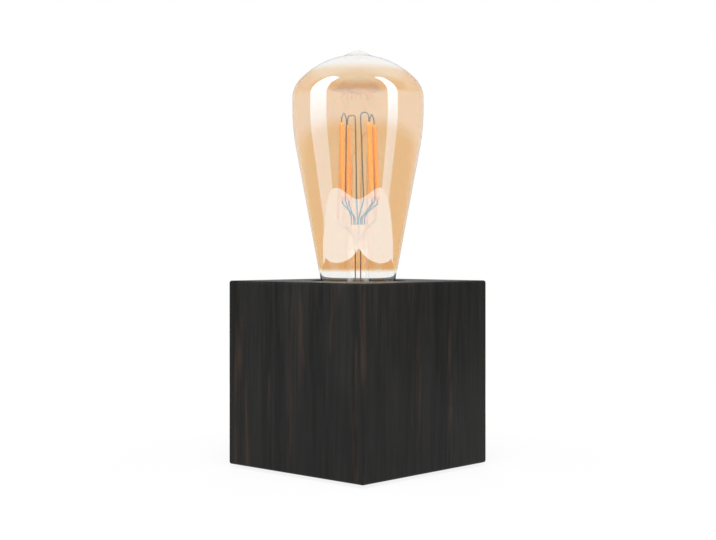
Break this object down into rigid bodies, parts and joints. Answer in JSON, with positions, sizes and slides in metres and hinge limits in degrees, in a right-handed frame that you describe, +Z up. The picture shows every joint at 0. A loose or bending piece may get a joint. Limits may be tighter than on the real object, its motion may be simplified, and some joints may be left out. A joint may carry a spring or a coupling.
{
  "type": "bare bulb table lamp",
  "caption": "Cube-shaped wooden table lamp base with a lampholder sunk in its top and a large amber-coated filament bulb standing bare above it.",
  "frame": {"origin": "on the table, at the middle of the cube's square footprint", "axes": "+Z up along the bulb's axis; +Y towards the back face, where the cord goes in; +X to the right seen from the front"},
  "size_m": [0.09, 0.09, 0.2048],
  "materials": {
    "stained_wood": "black stain over open grain, satin",
    "felt": "dense wool felt",
    "cover_plastic": "matte",
    "steel": "satin",
    "bushing_plastic": "satin moulded",
    "zinc_steel": "zinc plated",
    "holder_black": "satin moulded",
    "carrier_white": "unglazed ceramic white",
    "brass": "machined",
    "spring_brass": "rolled spring strip",
    "cap_metal": "drawn brass",
    "insulator_black": "pressed glass-like black",
    "solder_metal": "solder",
    "cement": "baked cement",
    "board_green": "solder mask",
    "capacitor_sleeve": "shrink sleeve",
    "chip_black": "moulded",
    "amber_glass": "amber-coated, gloss",
    "clear_glass": "clear, gloss",
    "wire_metal": "drawn nickel wire",
    "phosphor": "yellow silicone phosphor"
  },
  "bodies": {
    "base": {"base_cover": "cover_plastic", "centre_contact_foot": "spring_brass", "contact_carrier": "carrier_white", "contact_rivets": "brass", "cord_bushing": "bushing_plastic", "cover_screws": "steel", "felt_feet": "felt", "holder_cap": "holder_black", "holder_lock_screw": "steel", "holder_sleeve": "holder_black", "holder_washer": "zinc_steel", "live_terminal": "brass", "neutral_terminal": "brass", "nipple_nut": "zinc_steel", "nipple_washer": "zinc_steel", "side_contact_foot": "spring_brass", "terminal_screws": "steel", "threaded_nipple": "zinc_steel", "wooden_block": "stained_wood"},
    "bulb_contact": {"bulb_cap_contact": "solder_metal"},
    "bulb": {"bridge_rectifier": "chip_black", "bulb_cap_cement": "cement", "bulb_cap_insulator": "insulator_black", "bulb_cap_shell": "cap_metal", "driver_board": "board_green", "driver_capacitor": "capacitor_sleeve", "feed_wire_1": "wire_metal", "feed_wire_2": "wire_metal", "feed_wire_3": "wire_metal", "feed_wire_4": "wire_metal", "glass_envelope": "amber_glass", "glass_stem": "clear_glass", "lead_wire_1": "wire_metal", "lead_wire_2": "wire_metal", "led_filament_1": "phosphor", "led_filament_2": "phosphor", "led_filament_3": "phosphor", "led_filament_4": "phosphor", "support_wire_1": "wire_metal", "support_wire_2": "wire_metal", "support_wire_3": "wire_metal", "support_wire_4": "wire_metal"},
    "centre_blade": {"centre_contact_blade": "spring_brass"},
    "side_blade": {"side_contact_blade": "spring_brass"}
  },
  "joints": [
    {"name": "bulb_rise", "type": "slide", "parent": "base", "child": "bulb_contact", "axis": [0, 0, 1], "range_m": [0, 0.0109]},
    {"name": "bulb_turn", "type": "hinge", "parent": "bulb_contact", "child": "bulb", "pos_m": [0, 0, 0.0598], "axis": [0, 0, 1], "range_deg": [0, 1080]},
    {"name": "centre_contact_bend", "type": "hinge", "parent": "base", "child": "centre_blade", "pos_m": [-0.006, 0, 0.0562], "axis": [0, 1, 0], "range_deg": [0, 5], "stiffness_Nm_per_rad": 0.2, "springref_deg": -8.02},
    {"name": "side_contact_bend", "type": "hinge", "parent": "base", "child": "side_blade", "pos_m": [0.0136, 0, 0.0562], "axis": [0, 1, 0], "range_deg": [0, 4], "stiffness_Nm_per_rad": 0.2, "springref_deg": -8.02}
  ],
  "couplings": [
    {"joint": "bulb_rise", "follows": "bulb_turn", "m_per_rad": 0.00057757}
  ]
}
